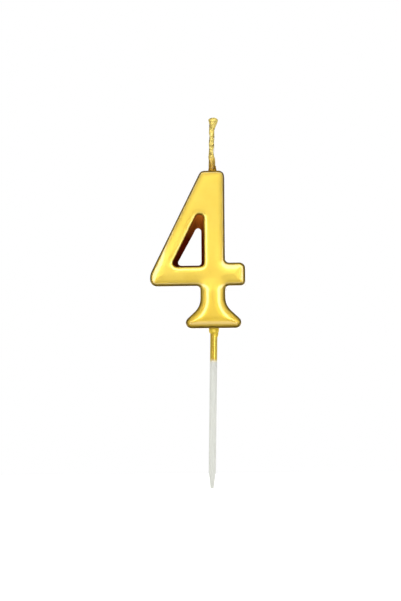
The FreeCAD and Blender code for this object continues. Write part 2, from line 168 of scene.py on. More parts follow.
def choose(item: bpy.types.Object, test: Callable[[Vector], bool]) -> None:
    """Select the vertices whose place passes a test, and the edges and faces between them.

    Args:
        item: A mesh object in object mode.
        test: Takes a vertex's place and says whether it is wanted.
    """
    mesh = item.data
    wanted = [test(vertex.co) for vertex in mesh.vertices]
    mesh.vertices.foreach_set("select", wanted)
    mesh.edges.foreach_set("select", [all(wanted[i] for i in edge.vertices) for edge in mesh.edges])
    mesh.polygons.foreach_set("select", [all(wanted[i] for i in face.vertices) for face in mesh.polygons])


def apply_modifier(item: bpy.types.Object, kind: str, **settings: object) -> None:
    """Add a modifier with its settings and apply it at once.

    Args:
        item: The mesh object.
        kind: The modifier's type.
        settings: Properties of the modifier.
    """
    modifier = item.modifiers.new(kind.lower(), kind)
    for name, value in settings.items():
        setattr(modifier, name, value)
    pick_only(item)
    bpy.ops.object.modifier_apply(modifier=modifier.name)


def remesh(item: bpy.types.Object, voxel: float) -> None:
    """Rebuild a mesh as an even grid of faces, a voxel in millimetres across."""
    apply_modifier(item, "REMESH", mode="VOXEL", voxel_size=voxel * MM)


def even_out(item: bpy.types.Object, times: int) -> None:
    """Smooth a mesh, a number of times."""
    apply_modifier(item, "SMOOTH", factor=0.5, iterations=times)


def settle(item: bpy.types.Object, name: str, smooth_angle: float = 60.0) -> bpy.types.Object:
    """Finish a mesh: name it, put its place in its mesh, merge doubles and shade it smooth.

    Args:
        item: The mesh object.
        name: The piece's name.
        smooth_angle: Edges sharper than this many degrees stay sharp.

    Returns:
        The same object.
    """
    item.name = item.data.name = name
    pick_only(item)
    bpy.ops.object.transform_apply(location=True, rotation=True, scale=True)
    with editing(item):
        bpy.ops.mesh.select_all(action="SELECT")
        bpy.ops.mesh.remove_doubles(threshold=WELD)
        bpy.ops.mesh.normals_make_consistent(inside=False)
    pick_only(item)
    bpy.ops.object.shade_smooth_by_angle(angle=math.radians(smooth_angle))
    return item


@dataclass(frozen=True)
class Corner:
    """One corner of an outline in the XZ plane, in millimetres, with the radius of its arc."""

    x: float
    z: float
    radius: float

    @property
    def place(self) -> Vector:
        """Where the corner is, on the plane y = 0, in metres."""
        return Vector((self.x, 0, self.z)) * MM


def draw_outline(corners: Sequence[Corner], depth: float, steps: int = 8) -> bpy.types.Object:
    """Draw a closed, filled outline that runs anticlockwise as seen from the front.

    Args:
        corners: The outline's corners.
        depth: Its place along Y, in metres.
        steps: How many edges an arc has.

    Returns:
        A mesh object of one face, which faces -Y.
    """
    arcs = []
    for before, corner, after in zip([corners[-1], *corners[:-1]], corners, [*corners[1:], corners[0]]):
        come = (corner.place - before.place).normalized()
        leave = (after.place - corner.place).normalized()
        turn = math.copysign(come.angle(leave), come.x * leave.z - come.z * leave.x)
        reach = corner.radius * MM * math.tan(abs(turn) / 2)
        start = corner.place - come * reach
        left = Vector((-come.z, 0, come.x))
        arcs.append((start, start + left * math.copysign(corner.radius * MM, turn), turn))
    level = Vector((0, depth, 0))
    pen = arcs[0][0]
    bpy.ops.mesh.primitive_plane_add(size=MM, location=pen + level)
    item = bpy.context.object
    with editing(item):
        bpy.ops.mesh.select_all(action="SELECT")
        bpy.ops.mesh.merge(type="CENTER")
        for number, (start, centre, turn) in enumerate(arcs):
            bpy.ops.mesh.spin(steps=steps, angle=turn, center=centre + level, axis=(0, 1, 0))
            pen = centre + Matrix.Rotation(-turn, 3, "Y") @ (start - centre)
            onward = arcs[(number + 1) % len(arcs)][0]
            bpy.ops.mesh.extrude_vertices_move(TRANSFORM_OT_translate={"value": onward - pen})
        bpy.ops.mesh.select_all(action="SELECT")
        bpy.ops.mesh.remove_doubles(threshold=WELD)
        bpy.ops.mesh.edge_face_add()
    if item.data.polygons[0].normal.y > 0:
        with editing(item):
            bpy.ops.mesh.select_all(action="SELECT")
            bpy.ops.mesh.flip_normals()
    pick_only(item)
    bpy.ops.object.transform_apply(location=True, rotation=True, scale=True)
    return item


def choose_rim(item: bpy.types.Object, depth: float, test: Callable[[Vector], bool]) -> None:
    """Select the edges in the plane y = depth at which its flat face meets a wall.

    Args:
        item: A mesh object in object mode.
        depth: The plane's place along Y, in metres.
        test: Takes a vertex's place and says whether its rim is wanted.
    """
    mesh = item.data
    flatness: dict[tuple[int, int], float] = {}
    for face in mesh.polygons:
        for key in face.edge_keys:
            flatness[key] = min(flatness.get(key, 1.0), abs(face.normal.y))
    choose(item, lambda place: False)
    for edge in mesh.edges:
        level = all(abs(mesh.vertices[i].co.y - depth) < WELD and test(mesh.vertices[i].co)
                    for i in edge.vertices)
        edge.select = level and flatness.get(edge.key, 1.0) < FACE_ON


def close_boundary() -> None:
    """Fill the one open edge loop of the mesh that is being edited."""
    bpy.ops.mesh.select_all(action="DESELECT")
    bpy.ops.mesh.select_non_manifold(
        extend=False, use_wire=False, use_boundary=True, use_multi_face=False,
        use_non_contiguous=False, use_verts=False)
    bpy.ops.mesh.edge_face_add()


def turn_profile(points: Sequence[tuple[float, float]], steps: int = 48) -> bpy.types.Object:
    """Turn a profile about the Z axis, as on a lathe.

    Args:
        points: Radius and height of each point, in millimetres, from one end of the axis to the other.
        steps: How many facets go round.

    Returns:
        A closed mesh object.
    """
    places = [Vector((radius, 0, height)) * MM for radius, height in points]
    bpy.ops.mesh.primitive_plane_add(size=MM, location=places[0])
    item = bpy.context.object
    with editing(item):
        bpy.ops.mesh.select_all(action="SELECT")
        bpy.ops.mesh.merge(type="CENTER")
        for here, there in zip(places, places[1:]):
            bpy.ops.mesh.extrude_vertices_move(TRANSFORM_OT_translate={"value": there - here})
        bpy.ops.mesh.select_all(action="SELECT")
        bpy.ops.mesh.spin(steps=steps, angle=math.tau, center=(0, 0, 0), axis=(0, 0, 1))
        bpy.ops.mesh.select_all(action="SELECT")
        bpy.ops.mesh.remove_doubles(threshold=WELD)
        bpy.ops.mesh.normals_make_consistent(inside=False)
    pick_only(item)
    bpy.ops.object.transform_apply(location=True, rotation=True, scale=True)
    return item


def graded(levels: Sequence[tuple[float, ...]], place: float) -> tuple[float, ...]:
    """Read a table whose rows start with a place, in rising order, easing between its rows.

    Args:
        levels: The rows.
        place: Where to read it.

    Returns:
        The rest of the row at that place.
    """
    if place <= levels[0][0]:
        return levels[0][1:]
    for low, high in zip(levels, levels[1:]):
        if place <= high[0]:
            share = (place - low[0]) / (high[0] - low[0])
            return tuple(a + (b - a) * share for a, b in zip(low[1:], high[1:]))
    return levels[-1][1:]


def roughen(item: bpy.types.Object, grain: float, depth: float) -> None:
    """Push a surface in and out at random, as hand dipping and spraying leave it.

    Args:
        item: The mesh object.
        grain: The size of the bumps, in millimetres.
        depth: How far they go from lowest to highest, in millimetres.
    """
    cloud = bpy.data.textures.new(item.name + "_unevenness", "CLOUDS")
    cloud.noise_scale = grain * MM
    apply_modifier(item, "DISPLACE", texture=cloud, texture_coords="LOCAL", strength=depth * MM)
    bpy.data.textures.remove(cloud)


# ---------------------------------------------------------------- finishes


@dataclass(frozen=True)
class GoldLacquer:
    """Gold-pigmented lacquer, sprayed on wax.

    Its metal flakes lie nearly flat in a clear resin, so it mirrors softly in satin gold, with a faint
    sparkle, under a thin glossy film, and it keeps the slight orange peel of the spray.
    """

    name: str = "gold_lacquer_sprayed"
    bright: str = "F8DA5C"
    deep: str = "ECC744"
    low: str = "FCF6CC"  # painted shade: the tint at the bottom of the low band
    worn_and_rim_shade: str = "7C6C3F"  # the tint of the painted shade along the rims, and of the real thin spray in thin patches
    counter_shade_tint: str = "5E1606"  # painted shade: the dark maroon mixed in towards the counter's walls
    low_shade_band: tuple[float, float] = (17.0, 1.0)  # mm, from its top to its bottom: painted shade, darker downwards through the band
    roughness: tuple[float, float] = (0.42, 0.47)
    metal: float = 0.85
    film: float = 1.0
    film_roughness: float = 0.06
    film_ior: float = 1.6
    patches: float = 0.0  # how worn the thin patches are
    patch: float = 1.3  # mm across
    patch_edge: tuple[float, float] = (0.52, 0.66)  # of the noise, from full lacquer to thin
    cloud: float = 7.0  # mm, across a change of tone
    glint: tuple[float, float] = (0.985, 1.01)  # from the dullest flake to the brightest
    peel: float = 1.1  # mm, from crest to crest
    peel_depth: float = 0.006  # mm
    flake: float = 0.24  # mm, drawn about five times as coarse as real flakes, so that it shows
    twist: float = 0.0  # mm for one turn of a strand, or zero on a plain surface
    fibres: float = 15.0  # ridges round the twisted rope
    fibre_depth: float = 0.02  # mm

    def material(self) -> bpy.types.Material:
        """Build the node material."""
        material = new_material(self.name)
        tree = material.node_tree
        place = add_node(tree, "TexCoord").outputs["Object"]
        cloud = add_node(tree, "TexNoise", inputs={
            "Vector": place, "Scale": 1 / (self.cloud * MM), "Detail": 3.0})
        flake = add_node(tree, "TexVoronoi", {"feature": "F1"},
                         {"Vector": place, "Scale": 1 / (self.flake * MM)})
        speckle = add_node(tree, "SeparateColor", inputs={"Color": flake.outputs["Color"]})
        tone = add_node(tree, "Mix", {"data_type": "RGBA"},
                        {0: cloud.outputs["Fac"], 6: linear(self.deep), 7: linear(self.bright)})
        dull, brilliant = self.glint
        glint = add_node(tree, "MapRange", inputs={
            "Value": speckle.outputs["Red"], "To Min": dull, "To Max": brilliant})
        sparkling = add_node(tree, "Mix", {"data_type": "RGBA", "blend_type": "MULTIPLY"},
                             {0: 1.0, 6: tone.outputs[2], 7: glint.outputs["Result"]})
        colour = self.add_spray(tree, place, sparkling.outputs[2])
        low, high = self.roughness
        haze = add_node(tree, "MapRange", inputs={
            "Value": speckle.outputs["Green"], "To Min": low, "To Max": high})
        peel = add_node(tree, "TexNoise", inputs={
            "Vector": place, "Scale": 1 / (self.peel * MM), "Detail": 2.0})
        relief = add_node(tree, "Bump", inputs={
            "Height": peel.outputs["Fac"], "Distance": self.peel_depth * MM, "Strength": 1.0})
        normal = relief.outputs["Normal"]
        if self.twist:
            normal = self.add_strands(tree, place, normal)
        shader = add_node(tree, "BsdfPrincipled", inputs={
            "Base Color": colour, "Metallic": self.metal, "Roughness": haze.outputs["Result"],
            "Coat Weight": self.film, "Coat Roughness": self.film_roughness, "Coat IOR": self.film_ior,
            "Normal": normal})
        add_node(tree, "OutputMaterial", inputs={"Surface": shader.outputs["BSDF"]})
        return material

    def add_spray(self, tree: bpy.types.NodeTree, place: bpy.types.NodeSocket,
                  colour: bpy.types.NodeSocket) -> bpy.types.NodeSocket:
        """Tone the lacquer: painted shade low down, along the rims and on the counter's walls, and real thin
        spray in its random patches.

        Args:
            tree: The material's nodes.
            place: Object coordinates.
            colour: The lacquer's full colour.

        Returns:
            The toned colour.
        """
        height = add_node(tree, "SeparateXYZ", inputs={"Vector": place}).outputs["Z"]
        high, low = self.low_shade_band
        low_shade_share = add_node(tree, "MapRange", inputs={
            "Value": height, "From Min": high * MM, "From Max": low * MM})
        blots = add_node(tree, "TexNoise", inputs={
            "Vector": place, "Scale": 1 / (self.patch * MM), "Detail": 2.0})
        full, bare = self.patch_edge
        thin = add_node(tree, "MapRange", inputs={
            "Value": blots.outputs["Fac"], "From Min": full, "From Max": bare, "To Max": self.patches})
        shares = [low_shade_share.outputs["Result"], thin.outputs["Result"]]
        # The numeral's rim and counter attributes carry painted shade
        for name in ("rim", "bore"):
            shares.append(add_node(tree, "Attribute", {"attribute_name": name}).outputs["Fac"])
        # Painted shade darkens it low down, along the rims and into the counter's dark maroon; the thin
        # patches are real thin spray
        for share, shade, blend in zip(shares, (self.low, self.worn_and_rim_shade, self.worn_and_rim_shade, self.counter_shade_tint),
                                       ("MULTIPLY", "MULTIPLY", "MULTIPLY", "MIX")):
            colour = add_node(tree, "Mix", {"data_type": "RGBA", "blend_type": blend},
                              {0: share, 6: colour, 7: linear(shade)}).outputs[2]
        return colour

    def add_strands(self, tree: bpy.types.NodeTree, place: bpy.types.NodeSocket,
                    normal: bpy.types.NodeSocket) -> bpy.types.NodeSocket:
        """Add the ridges of the fibres that show through the lacquer on a twisted strand.

        Args:
            tree: The material's nodes.
            place: Object coordinates.
            normal: The normal so far.

        Returns:
            The normal with the ridges.
        """
        axes = add_node(tree, "SeparateXYZ", inputs={"Vector": place})
        around = add_node(tree, "Math", {"operation": "ARCTAN2"},
                          {0: axes.outputs["Y"], 1: axes.outputs["X"]})
        climb = add_node(tree, "Math", {"operation": "MULTIPLY"},
                         {0: axes.outputs["Z"], 1: -math.tau / (self.twist * MM)})
        phase = add_node(tree, "Math", {"operation": "ADD"}, {0: around.outputs[0], 1: climb.outputs[0]})
        fibres = add_node(tree, "Math", {"operation": "MULTIPLY"}, {0: phase.outputs[0], 1: self.fibres})
        ridge = add_node(tree, "Math", {"operation": "SINE"}, {0: fibres.outputs[0]})
        return add_node(tree, "Bump", inputs={
            "Height": ridge.outputs[0], "Distance": self.fibre_depth * MM, "Strength": 0.6,
            "Normal": normal}).outputs["Normal"]


@dataclass(frozen=True)
class MistedPolystyrene:
    """Milky polystyrene, injection moulded, with gold lacquer sprayed on its top end.

    The plastic is slightly see-through and satin, with faint flow marks along its length. The spray
    ends in a ragged, thinning mist of droplets.
    """

    name: str = "polystyrene_moulded_milky"
    plastic: str = "C7C8C1"
    gold: str = "F3D65A"
    # painted shade: a darker band down the gold on the pick's round shank
    run: str = "B28E1C"
    shade_band_place: tuple[float, float] = (-0.4, 0.6)  # mm, the middle of the painted shade band across the pick, and its reach
    metal: float = 0.6
    mist_top: float = -8.4  # mm
    mist_end: float = -10.9  # mm
    thinning: tuple[float, float] = (-0.6, 0.7)  # added to the droplets' noise, at the end and the top
    droplet: float = 0.45  # mm
    droplet_edge: tuple[float, float] = (0.2, 0.8)
    flow: float = 0.5  # mm between flow marks
    flow_depth: float = 0.012  # mm
    roughness: tuple[float, float] = (0.32, 0.42)

    def material(self) -> bpy.types.Material:
        """Build the node material."""
        material = new_material(self.name)
        tree = material.node_tree
        place = add_node(tree, "TexCoord").outputs["Object"]
        axes = add_node(tree, "SeparateXYZ", inputs={"Vector": place}).outputs
        drops = add_node(tree, "TexNoise", inputs={
            "Vector": place, "Scale": 1 / (self.droplet * MM), "Detail": 3.0, "Roughness": 0.6})
        end, top = self.thinning
        thinning = add_node(tree, "MapRange", inputs={
            "Value": axes["Z"], "From Min": self.mist_end * MM, "From Max": self.mist_top * MM,
            "To Min": end, "To Max": top})
        cover = add_node(tree, "Math", {"operation": "ADD"},
                         {0: thinning.outputs["Result"], 1: drops.outputs["Fac"]})
        bare, full = self.droplet_edge
        mist = add_node(tree, "MapRange", inputs={
            "Value": cover.outputs[0], "From Min": bare, "From Max": full})
        # Painted shade: the gold darkens in a band down the left of the round shank
        middle, reach = self.shade_band_place
        aside = add_node(tree, "Math", {"operation": "SUBTRACT"}, {0: axes["X"], 1: middle * MM})
        away = add_node(tree, "Math", {"operation": "ABSOLUTE"}, {0: aside.outputs[0]})
        run = add_node(tree, "MapRange", {"interpolation_type": "SMOOTHSTEP"}, {
            "Value": away.outputs[0], "From Max": reach * MM, "To Min": 1.0, "To Max": 0.0})
        lacquer = add_node(tree, "Mix", {"data_type": "RGBA"}, {
            0: run.outputs["Result"], 6: linear(self.gold), 7: linear(self.run)})
        tone = add_node(tree, "Mix", {"data_type": "RGBA"}, {
            0: mist.outputs["Result"], 6: linear(self.plastic), 7: lacquer.outputs[2]})
        shine = add_node(tree, "Math", {"operation": "MULTIPLY"}, {0: mist.outputs["Result"], 1: self.metal})
        flow = add_node(tree, "Mapping", inputs={"Vector": place, "Scale": (1.0, 1.0, 0.04)})
        marks = add_node(tree, "TexNoise", inputs={
            "Vector": flow.outputs["Vector"], "Scale": 1 / (self.flow * MM), "Detail": 2.0})
        relief = add_node(tree, "Bump", inputs={
            "Height": marks.outputs["Fac"], "Distance": self.flow_depth * MM, "Strength": 0.7})
        low, high = self.roughness
        haze = add_node(tree, "MapRange", inputs={
            "Value": marks.outputs["Fac"], "To Min": low, "To Max": high})
        shader = add_node(tree, "BsdfPrincipled", inputs={
            "Base Color": tone.outputs[2], "Metallic": shine.outputs[0],
            "Roughness": haze.outputs["Result"], "IOR": 1.59, "Subsurface Weight": 0.25,
            "Subsurface Radius": (1.0, 1.0, 0.9), "Subsurface Scale": 0.6 * MM,
            "Normal": relief.outputs["Normal"]})
        add_node(tree, "OutputMaterial", inputs={"Surface": shader.outputs["BSDF"]})
        return material


@dataclass(frozen=True)
class CastWax:
    """Paraffin candle wax, cast: pale, waxy and slightly see-through, with soft cloudy blooms."""

    name: str = "paraffin_wax_cast"
    colour: str = "F1E7CB"
    bloom: str = "E6D8B4"
    cloud: float = 2.5  # mm, across a bloom
    relief: float = 0.02  # mm

    def material(self) -> bpy.types.Material:
        """Build the node material."""
        material = new_material(self.name)
        tree = material.node_tree
        place = add_node(tree, "TexCoord").outputs["Object"]
        cloud = add_node(tree, "TexNoise", inputs={
            "Vector": place, "Scale": 1 / (self.cloud * MM), "Detail": 4.0})
        tone = add_node(tree, "Mix", {"data_type": "RGBA"},
                        {0: cloud.outputs["Fac"], 6: linear(self.colour), 7: linear(self.bloom)})
        relief = add_node(tree, "Bump", inputs={
            "Height": cloud.outputs["Fac"], "Distance": self.relief * MM})
        shader = add_node(tree, "BsdfPrincipled", inputs={
            "Base Color": tone.outputs[2], "Roughness": 0.45, "IOR": 1.44, "Subsurface Weight": 0.4,
            "Subsurface Radius": (1.0, 0.8, 0.5), "Subsurface Scale": 1.5 * MM,
            "Normal": relief.outputs["Normal"]})
        add_node(tree, "OutputMaterial", inputs={"Surface": shader.outputs["BSDF"]})
        return material


@dataclass(frozen=True)
class PaintedCounterShade:
    """The counter's walls in painted shade: a matt dark maroon, with painted light making it lighter towards
    the apex.
    """

    name: str = "counter_painted_shade_matt"
    # painted shade: the dark maroon of the counter's walls, with its blooms
    colour: str = "400702"
    bloom: str = "5E1C07"
    # painted light: the lighter tint up at the counter's apex
    apex: str = "A0591D"
    apex_light_band: tuple[float, float] = (29.0, 35.5)  # mm, where the painted light towards the apex starts and is fullest
    cloud: float = 1.6  # mm, across a bloom
    relief: float = 0.02  # mm

    def material(self) -> bpy.types.Material:
        """Build the node material."""
        material = new_material(self.name)
        tree = material.node_tree
        place = add_node(tree, "TexCoord").outputs["Object"]
        cloud = add_node(tree, "TexNoise", inputs={
            "Vector": place, "Scale": 1 / (self.cloud * MM), "Detail": 3.0})
        tone = add_node(tree, "Mix", {"data_type": "RGBA"},
                        {0: cloud.outputs["Fac"], 6: linear(self.colour), 7: linear(self.bloom)})
        height = add_node(tree, "SeparateXYZ", inputs={"Vector": place}).outputs["Z"]
        low, high = self.apex_light_band
        share = add_node(tree, "MapRange", inputs={
            "Value": height, "From Min": low * MM, "From Max": high * MM})
        apex_lit = add_node(tree, "Mix", {"data_type": "RGBA"},
                        {0: share.outputs["Result"], 6: tone.outputs[2], 7: linear(self.apex)})
        relief = add_node(tree, "Bump", inputs={
            "Height": cloud.outputs["Fac"], "Distance": self.relief * MM})
        shader = add_node(tree, "BsdfPrincipled", inputs={
            "Base Color": apex_lit.outputs[2], "Roughness": 0.8, "Specular IOR Level": 0.0,
            "Normal": relief.outputs["Normal"]})
        add_node(tree, "OutputMaterial", inputs={"Surface": shader.outputs["BSDF"]})
        return material


@dataclass(frozen=True)
class TwistedCotton:
    """Cotton yarn, spun and waxed: matt off-white with a fine twist of fibres and a faint fuzz."""

    name: str = "cotton_yarn_spun"
    colour: str = "EAE4D2"
    # painted shade: the grooves between the plies are drawn darker
    groove: str = "B9AE93"
    ply: float = 0.35  # mm from one ply to the next
    relief: float = 0.04  # mm

    def material(self) -> bpy.types.Material:
        """Build the node material."""
        material = new_material(self.name)
        tree = material.node_tree
        place = add_node(tree, "TexCoord").outputs["Object"]
        lie = add_node(tree, "Mapping", inputs={"Vector": place, "Rotation": (0.6, 0.5, 0.0)})
        plies = add_node(tree, "TexWave", {"bands_direction": "Z"}, {
            "Vector": lie.outputs["Vector"], "Scale": 0.314 / (self.ply * MM), "Distortion": 1.5,
            "Detail": 2.0})
        # Painted shade: darker in the grooves between the plies
        tone = add_node(tree, "Mix", {"data_type": "RGBA"},
                        {0: plies.outputs["Fac"], 6: linear(self.groove), 7: linear(self.colour)})
        relief = add_node(tree, "Bump", inputs={
            "Height": plies.outputs["Fac"], "Distance": self.relief * MM})
        shader = add_node(tree, "BsdfPrincipled", inputs={
            "Base Color": tone.outputs[2], "Roughness": 0.85, "Sheen Weight": 0.3,
            "Normal": relief.outputs["Normal"]})
        add_node(tree, "OutputMaterial", inputs={"Surface": shader.outputs["BSDF"]})
        return material


@dataclass(frozen=True)
class StudioPaper:
    """Matt white paper sweep: plain and pale, with a barely visible tooth."""

    name: str = "paper_sweep_matt"
    colour: str = "FBFBFA"
    tooth: float = 1.5  # mm
    relief: float = 0.01  # mm

    def material(self) -> bpy.types.Material:
        """Build the node material."""
        material = new_material(self.name)
        tree = material.node_tree
        place = add_node(tree, "TexCoord").outputs["Object"]
        tooth = add_node(tree, "TexNoise", inputs={
            "Vector": place, "Scale": 1 / (self.tooth * MM), "Detail": 2.0})
        relief = add_node(tree, "Bump", inputs={
            "Height": tooth.outputs["Fac"], "Distance": self.relief * MM})
        shader = add_node(tree, "BsdfPrincipled", inputs={
            "Base Color": linear(self.colour), "Roughness": 0.9, "Specular IOR Level": 0.1,
            "Normal": relief.outputs["Normal"]})
        add_node(tree, "OutputMaterial", inputs={"Surface": shader.outputs["BSDF"]})
        return material


# ---------------------------------------------------------------- the candle's pieces


class Piece:
    """One finished piece of the candle, which rides on its body and stands for CAD nodes.

    Its sizes are in millimetres and its angles in degrees.
    """

    name: str
    slot: Slot
    stands_for: tuple[str, ...]

    def make(self) -> bpy.types.Object:
        """Model the piece and return its object."""
        raise NotImplementedError

    def add(self, material: bpy.types.Material) -> bpy.types.Object:
        """Model the piece, dress it and join it to the frame.

        Args:
            material: Its finish.

        Returns:
            The finished object.
        """
        item = self.make()
        item.data.materials.clear()
        item.data.materials.append(material)
        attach(item, "root")
        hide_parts(*self.stands_for)
        LOG.info("%s: %d faces, %s", item.name, len(item.data.polygons), material.name)
        return item


@dataclass
class Numeral(Piece):
    """The cast four. Its outline is that of its flat back, and its walls lean in to a rolled front."""

    name: str = "numeral_shell"
    slot: Slot = Slot.GOLD
    stands_for: tuple[str, ...] = ("numeral_gold_coat", "numeral_wax_core")
    height: float = 50.65
    depth: float = 8.0
    draft: float = 2.3
    front: float = -3.75
    roll: float = 0.6
    counter_roll: float = 0.35
    back_rim: float = 0.4
    # Height above the foot, how far the face swells there and how strong the painted shade along its rims is
    swell: tuple[tuple[float, float, float], ...] = (
        (0.0, 1.0, 0.7), (12.0, 1.0, 0.7), (16.0, 0.65, 0.8), (20.0, 0.6, 0.9), (32.0, 0.2, 1.0),
    )
    swell_reach: float = 4.0
    dish: float = 0.42
    dish_reach: float = 2.0
    rim_shade_reach: float = 2.5
    lip: float = 0.7  # how far behind the front the face ends and a wall begins
    counter_shade_start: float = -0.78  # the normal's Y part at which the painted shade starts on the counter's walls
    thinning: float = 0.3  # how far it takes the painted shade to be full, in that Y part and in millimetres alike
    bare: float = 0.97  # a counter face this deep in the painted shade takes the dark maroon finish
    stem: tuple[float, float] = (-4.35, 4.05)
    bar: tuple[float, float] = (13.4, 21.25)
    foot: float = 12.235  # from the middle to each corner
    foot_radius: float = 2.07
    ankles: tuple[float, float] = (7.35, 7.63)  # heights on the left and the right
    ankle_radius: float = 5.5
    notch_radius: float = 0.95
    arm: float = 10.4
    arm_radii: tuple[float, float] = (1.7, 2.1)  # below and above
    crown: float = -3.855
    crown_radius: float = 2.1
    tip: tuple[float, float] = (-20.2, 17.58)
    tip_radii: tuple[float, float] = (2.4, 5.0)  # below and above
    # The counter's sizes, each at the front and at the back
    counter_right: tuple[float, float] = (-2.86, -3.95)
    counter_floor: tuple[float, float] = (19.78, 21.0)
    counter_apex: tuple[float, float] = (35.4, 31.75)
    counter_apex_radius: tuple[float, float] = (1.27, 0.95)
    counter_lean: tuple[float, float] = (26.6, 28.8)
    counter_radius: tuple[float, float] = (1.2, 0.9)
    counter_margin: float = 1.5  # what is this near the counter still counts as in it
    voxel: float = 0.22

    def outline(self) -> list[Corner]:
        """The corners of the back outline, anticlockwise from the foot's right tip."""
        left, right = self.stem
        low, high = self.bar
        left_ankle, right_ankle = self.ankles
        arm_low, arm_high = self.arm_radii
        tip, shoulder = self.tip
        tip_low, tip_high = self.tip_radii
        return [
            Corner(self.foot, 0, self.foot_radius), Corner(right, right_ankle, self.ankle_radius),
            Corner(right, low, self.notch_radius), Corner(self.arm, low, arm_low),
            Corner(self.arm, high, arm_high), Corner(right, high, self.notch_radius),
            Corner(right, self.height, self.crown_radius),
            Corner(self.crown, self.height, self.crown_radius),
            Corner(tip, shoulder, tip_high), Corner(tip, low, tip_low),
            Corner(left, low, self.notch_radius), Corner(left, left_ankle, self.ankle_radius),
            Corner(-self.foot, 0, self.foot_radius),
        ]

    def counter(self, share: float) -> list[Corner]:
        """The corners of the counter.

        Args:
            share: How far to go from the front to the back, from zero to one.

        Returns:
            The right corner of its floor, its apex and the left corner of its floor.
        """
        def between(front: float, back: float) -> float:
            """The size at that share of the way."""
            return front + (back - front) * share
        right, floor = between(*self.counter_right), between(*self.counter_floor)
        apex, apex_radius = between(*self.counter_apex), between(*self.counter_apex_radius)
        lean = math.radians(between(*self.counter_lean))
        peak = apex + apex_radius / math.tan(lean / 2)
        corner = between(*self.counter_radius)
        return [Corner(right, floor, corner), Corner(right, peak, apex_radius),
                Corner(right - (peak - floor) * math.tan(lean), floor, corner)]

    def in_counter(self, place: Vector) -> bool:
        """Whether a place is in the counter or within its margin, seen from the front.

        Args:
            place: A place in metres.

        Returns:
            True if it is.
        """
        corners = [corner.place for corner in self.counter(0.0)]
        for here, there in zip(corners, [*corners[1:], corners[0]]):
            edge, away = there - here, place - here
            if edge.x * away.z - edge.z * away.x < -self.counter_margin * MM * edge.length:
                return False
        return True

    def make(self) -> bpy.types.Object:
        """Draft the outline forward, cut the counter, roll the rims and pillow the face.

        Returns:
            The numeral, closed and smooth, with its two attributes of painted shade, on the rims and on the
            counter's walls.
        """
        half, front = self.depth / 2 * MM, self.front * MM
        shell = draw_outline(self.outline(), half)
        with editing(shell):
            bpy.ops.mesh.select_all(action="SELECT")
            bpy.ops.mesh.inset(thickness=(half - front) * math.tan(math.radians(self.draft)),
                               depth=half - front)
            close_boundary()
        tool = self.counter_plug(half)
        apply_modifier(shell, "BOOLEAN", operation="DIFFERENCE", object=tool, solver="EXACT")
        bpy.data.objects.remove(tool)
        for depth, radius, segments, inside in (
                (front, self.roll, 6, False), (front, self.counter_roll, 4, True),
                (half, self.back_rim, 3, False), (half, self.back_rim, 3, True)):
            choose_rim(shell, depth, lambda place: self.in_counter(place) == inside)
            with editing(shell, "EDGE"):
                bpy.ops.mesh.bevel(offset=radius * MM, segments=segments, profile=0.5,
                                   affect="EDGES", clamp_overlap=False)
        remesh(shell, self.voxel)
        even_out(shell, 4)
        self.shape_face(shell)
        settle(shell, self.name)
        self.mark_spray(shell)
        return shell

    def add(self, material: bpy.types.Material) -> bpy.types.Object:
        """Model the numeral, dress it, and give the counter's walls their own finish of painted shade.

        Args:
            material: The finish of the rest.

        Returns:
            The finished object.
        """
        shell = super().add(material)
        shell.data.materials.append(PaintedCounterShade().material())
        bore = shell.data.attributes["bore"].data
        for face in shell.data.polygons:
            if min(bore[i].value for i in face.vertices) > self.bare:
                face.material_index = 1
        return shell

    def counter_plug(self, half: float) -> bpy.types.Object:
        """The closed plug that cuts the counter, a little longer than the numeral is deep.

        Args:
            half: Half the numeral's depth, in metres.

        Returns:
            The plug.
        """
        over = 0.1  # of the depth, past each face
        front = draw_outline(self.counter(-over), -half * (1 + 2 * over))
        back = draw_outline(self.counter(1 + over), half * (1 + 2 * over))
        pick_only(front, back)
        bpy.ops.object.join()
        with editing(front):
            bpy.ops.mesh.select_all(action="SELECT")
            bpy.ops.mesh.delete(type="ONLY_FACE")
            bpy.ops.mesh.select_all(action="SELECT")
            bpy.ops.mesh.bridge_edge_loops()
        for side in (-1, 1):
            choose(front, lambda place: place.y * side > 0)
            with editing(front):
                bpy.ops.mesh.edge_face_add()
        with editing(front):
            bpy.ops.mesh.select_all(action="SELECT")
            bpy.ops.mesh.normals_make_consistent(inside=False)
        return front

    def distances(self, shell: bpy.types.Object) -> list[tuple[float, float]]:
        """How far each vertex is from the outer wall and from the counter's wall.

        Args:
            shell: The numeral.

        Returns:
            Both distances of each vertex, in millimetres, as seen from the front.
        """
        vertices = shell.data.vertices
        found = []
        for inside in (False, True):
            walls = [v.co for v in vertices
                     if abs(v.normal.y) < FACE_ON and self.in_counter(v.co) == inside]
            tree = KDTree(len(walls))
            for number, place in enumerate(walls):
                tree.insert((place.x, 0, place.z), number)
            tree.balance()
            found.append([tree.find((v.co.x, 0, v.co.z))[2] / MM for v in vertices])
        return list(zip(*found))

